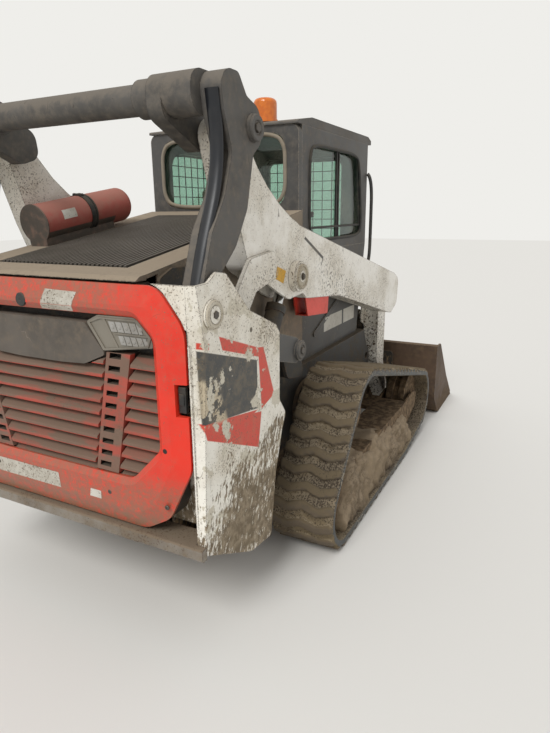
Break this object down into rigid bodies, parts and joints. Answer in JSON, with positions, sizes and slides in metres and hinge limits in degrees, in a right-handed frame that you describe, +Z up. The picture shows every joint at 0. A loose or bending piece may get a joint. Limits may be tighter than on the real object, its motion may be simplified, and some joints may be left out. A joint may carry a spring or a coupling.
{
  "type": "compact track loader",
  "caption": "Tracked loader with vertical-lift arms, dirt bucket, enclosed cab, swinging tailgate and working linkages.",
  "frame": {"origin": "on the ground, midway between the rear bumper and the cutting edge, in the machine's middle plane", "axes": "+X forward towards the bucket, +Y to the machine's left, +Z up"},
  "size_m": [3.62, 1.77, 2.17],
  "materials": {
    "cream_paint": "satin, chipped",
    "dark_paint": "satin, dusty",
    "charcoal_paint": "satin, dusty",
    "orange_paint": "gloss, dusty",
    "worn_steel": "worn and rusty",
    "cast_iron": "matt",
    "track_rubber": "muddy",
    "glass": "clear",
    "seat_vinyl": "satin",
    "black_plastic": "matt",
    "amber_plastic": "clear amber",
    "red_paint": "satin, faded",
    "lamp_lens": "clear",
    "chrome_rod": "polished"
  },
  "bodies": {
    "chassis": {"main_frame": "dark_paint", "upright_left": "cream_paint", "upright_right": "cream_paint", "frame_pivots": "dark_paint", "rear_bumper": "worn_steel", "engine_block": "cast_iron", "cooler": "dark_paint", "track_frames": "dark_paint", "track_left": "track_rubber", "track_right": "track_rubber", "sprockets": "cast_iron", "final_drives": "cast_iron", "idlers": "worn_steel", "rollers": "worn_steel", "cab_side_left": "charcoal_paint", "cab_side_right": "charcoal_paint", "cab_lower_panels": "charcoal_paint", "cab_rear_wall": "charcoal_paint", "cab_glass": "glass", "cab_front_frame": "charcoal_paint", "cab_roof": "charcoal_paint", "cab_floor": "dark_paint", "seat": "seat_vinyl", "consoles": "black_plastic", "beacon": "amber_plastic", "hood_frame": "dark_paint", "hood_screen": "black_plastic", "extinguisher": "red_paint"},
    "tailgate": {"tailgate_frame": "orange_paint", "tailgate_inner_frame": "dark_paint", "tailgate_grille": "orange_paint", "badge_panel": "black_plastic", "tail_lamps": "lamp_lens"},
    "rear_links": {"rear_link_left": "dark_paint", "rear_link_right": "dark_paint", "link_cross_tube": "dark_paint"},
    "lift_arms": {"lift_arm_left": "cream_paint", "lift_arm_right": "cream_paint", "arm_cross_tube": "cream_paint", "arm_support": "orange_paint"},
    "control_links": {"control_links": "dark_paint"},
    "lift_barrels": {"lift_barrels": "dark_paint"},
    "lift_rods": {"lift_rods": "chrome_rod"},
    "tilt_barrels": {"tilt_barrels": "dark_paint"},
    "tilt_rods": {"tilt_rods": "chrome_rod"},
    "bucket_and_coupler": {"coupler": "dark_paint", "bucket": "worn_steel"},
    "cab_door": {"cab_door": "charcoal_paint", "door_glass": "glass"}
  },
  "joints": [
    {"name": "lift", "type": "hinge", "parent": "chassis", "child": "rear_links", "pos_m": [-1.697, 0, 1.279], "axis": [0, -1, 0], "range_deg": [0, 33.51]},
    {"name": "arm_hinge", "type": "hinge", "parent": "rear_links", "child": "lift_arms", "pos_m": [-1.372, 0, 1.866], "axis": [0, -1, 0], "range_deg": [0, 26.3]},
    {"name": "control_link_hinge", "type": "hinge", "parent": "chassis", "child": "control_links", "pos_m": [-0.96, 0, 0.995], "axis": [0, 1, 0], "range_deg": [0, 50.73]},
    {"name": "lift_barrel_hinge", "type": "hinge", "parent": "chassis", "child": "lift_barrels", "pos_m": [-1.41, 0, 0.45], "axis": [0, -1, 0], "range_deg": [0, 19.13]},
    {"name": "lift_rod_slide", "type": "slide", "parent": "lift_barrels", "child": "lift_rods", "axis": [0.5388, 0, 0.8424], "range_m": [0, 0.68698]},
    {"name": "bucket_tilt", "type": "hinge", "parent": "lift_arms", "child": "bucket_and_coupler", "pos_m": [0.98, 0, 0.22], "axis": [0, -1, 0], "range_deg": [-104, 30]},
    {"name": "tilt_barrel_hinge", "type": "hinge", "parent": "lift_arms", "child": "tilt_barrels", "pos_m": [0.63, 0, 0.88], "axis": [0, -1, 0], "range_deg": [-0.98, 3.36]},
    {"name": "tilt_rod_slide", "type": "slide", "parent": "tilt_barrels", "child": "tilt_rods", "axis": [0.5233, 0, -0.8522], "range_m": [-0.03366, 0.11645]},
    {"name": "tailgate_hinge", "type": "hinge", "parent": "chassis", "child": "tailgate", "pos_m": [-1.798, 0.672, 0.93], "axis": [0, 0, -1], "range_deg": [0, 100]},
    {"name": "cab_door_hinge", "type": "hinge", "parent": "chassis", "child": "cab_door", "pos_m": [0.588, 0.334, 1.38], "axis": [0, 0, 1], "range_deg": [0, 88]}
  ],
  "couplings": [
    {"joint": "arm_hinge", "follows": "lift", "ratio": 0.78458},
    {"joint": "control_link_hinge", "follows": "lift", "ratio": 1.5137},
    {"joint": "lift_barrel_hinge", "follows": "lift", "ratio": 0.57068},
    {"joint": "lift_rod_slide", "follows": "lift", "m_per_rad": 1.1745},
    {"joint": "tilt_barrel_hinge", "follows": "bucket_tilt", "ratio": -0.0322},
    {"joint": "tilt_rod_slide", "follows": "bucket_tilt", "m_per_rad": -0.0641}
  ]
}
